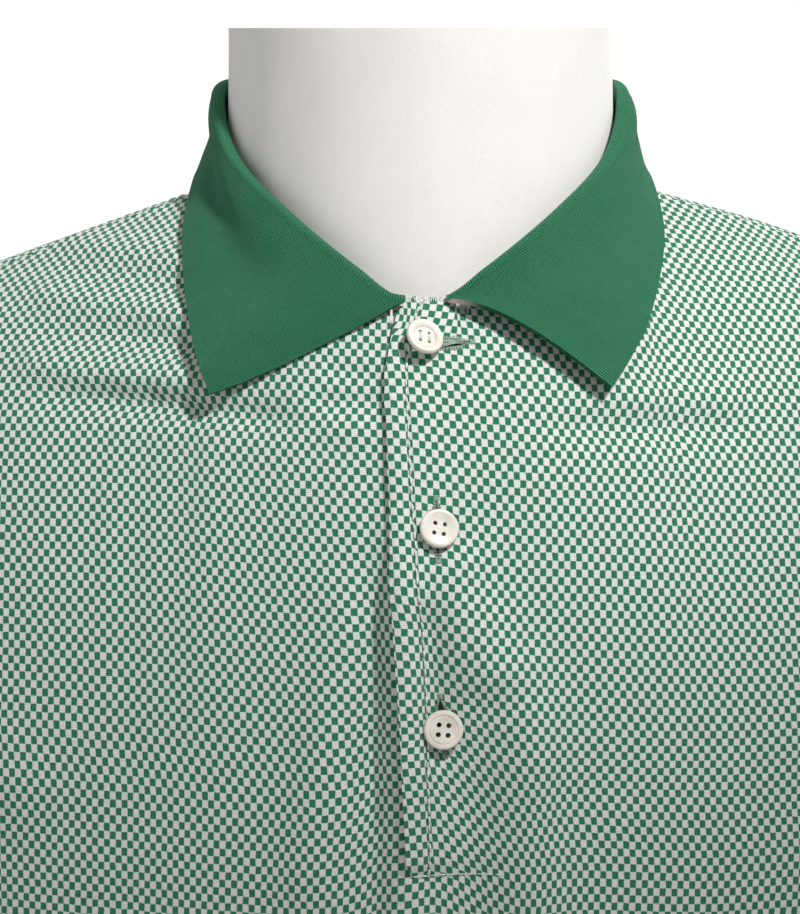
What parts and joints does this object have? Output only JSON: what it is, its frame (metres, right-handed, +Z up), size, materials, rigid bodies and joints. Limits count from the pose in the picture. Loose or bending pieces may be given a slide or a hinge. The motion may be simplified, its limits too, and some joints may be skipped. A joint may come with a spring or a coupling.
{
  "type": "polo shirt on a limbless dress form",
  "caption": "Short-sleeved knit polo shirt with a small two-tone check, a plain ribbed collar and a buttoned placket, worn by a limbless dress form with a flat base.",
  "frame": {"origin": "middle of the dress form's flat base, at the surface that it stands on", "axes": "+Z up along the form, -Y out of the shirt's front, +X to the wearer's left"},
  "size_m": [0.6994, 0.2337, 0.795],
  "materials": {
    "check_knit": "soft mercerised jacquard knit with a small green and white check",
    "collar_knit": "matte flat-knit rib with a faint nap",
    "button": "pearly polished polyester",
    "form_cover": "smooth matte pale jersey"
  },
  "bodies": {
    "root": {"front": "check_knit", "back": "check_knit", "sleeve_left": "check_knit", "sleeve_right": "check_knit", "collar": "collar_knit", "placket_over": "check_knit", "placket_under": "check_knit", "button_1": "button", "button_2": "button", "button_3": "button", "dress_form": "form_cover"}
  },
  "joints": []
}
